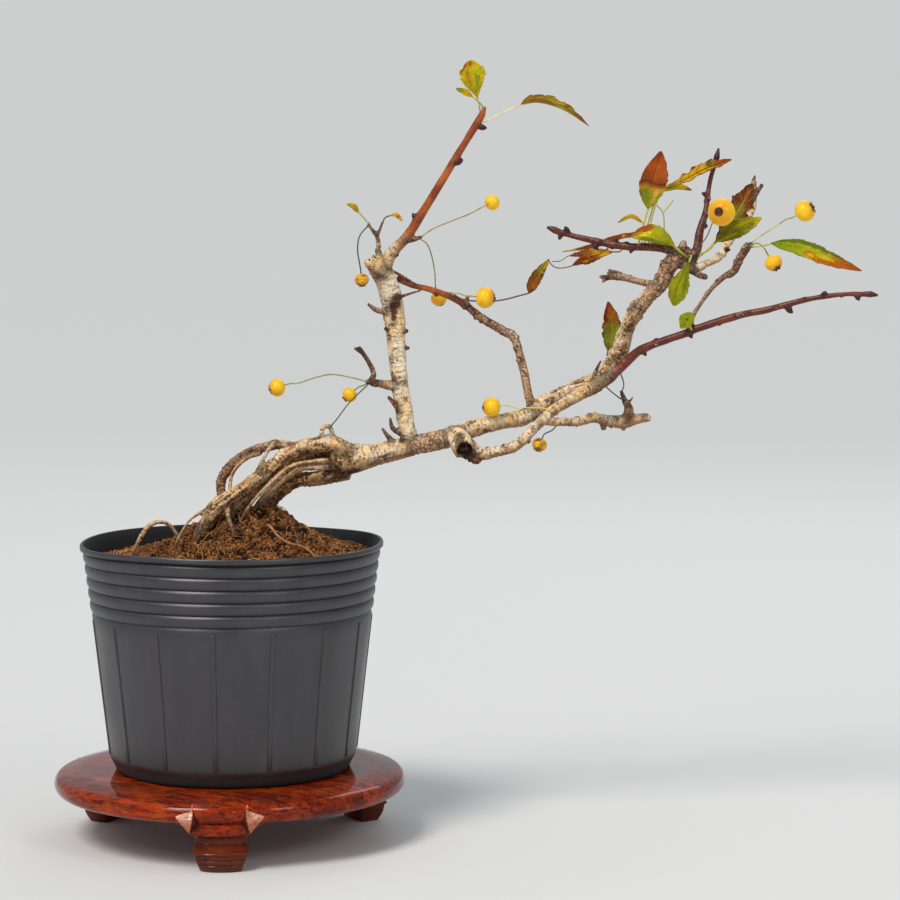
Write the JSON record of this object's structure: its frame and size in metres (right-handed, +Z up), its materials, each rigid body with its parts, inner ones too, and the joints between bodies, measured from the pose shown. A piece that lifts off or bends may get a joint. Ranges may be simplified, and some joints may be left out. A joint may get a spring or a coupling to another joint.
{
  "type": "bonsai tree in a pot",
  "caption": "Leaning crabapple bonsai with exposed roots, last leaves and yellow fruits, in a ribbed round nursery pot on a lacquered three-legged stand.",
  "frame": {"origin": "middle of the bounding box's footprint, at the floor under the stand's feet", "axes": "+X towards the side the tree leans to, +Y away from the viewer of its front, +Z up"},
  "size_m": [0.4044, 0.1764, 0.3848],
  "materials": {
    "lacquered_wood": "gloss lacquer",
    "pot_plastic": "satin",
    "potting_soil": "rough",
    "bark": "rough",
    "leaf_green": "satin",
    "leaf_autumn": "satin",
    "fruit_skin": "gloss"
  },
  "bodies": {
    "root": {"stand": "lacquered_wood", "pot": "pot_plastic", "soil": "potting_soil", "tree": "bark", "leaf_apex_broad": "leaf_green", "leaf_apex_long": "leaf_autumn", "leaf_apex_bud": "leaf_green", "leaf_crown_left": "leaf_green", "leaf_crown_right": "leaf_green", "leaf_behind_trunk": "leaf_autumn", "leaf_shoot_round": "leaf_green", "leaf_right_long": "leaf_green", "leaf_fruit_high": "leaf_autumn", "leaf_fruit_low": "leaf_green", "leaf_hanging": "leaf_green", "leaf_upright": "leaf_autumn", "leaf_edge_on": "leaf_autumn", "leaf_spur_yellow": "leaf_green", "leaf_spur_stipule": "leaf_green", "leaf_twig_long": "leaf_green", "leaf_curl_upper": "leaf_autumn", "leaf_curl_lower": "leaf_autumn", "leaf_middle_branch": "leaf_autumn", "fruit_apex": "fruit_skin", "fruit_behind_branch": "fruit_skin", "fruit_middle_branch": "fruit_skin", "fruit_crown_left": "fruit_skin", "fruit_far_left": "fruit_skin", "fruit_left_twig": "fruit_skin", "fruit_on_trunk": "fruit_skin", "fruit_under_branch": "fruit_skin", "fruit_big": "fruit_skin", "fruit_right_high": "fruit_skin", "fruit_right_low": "fruit_skin"}
  },
  "joints": []
}
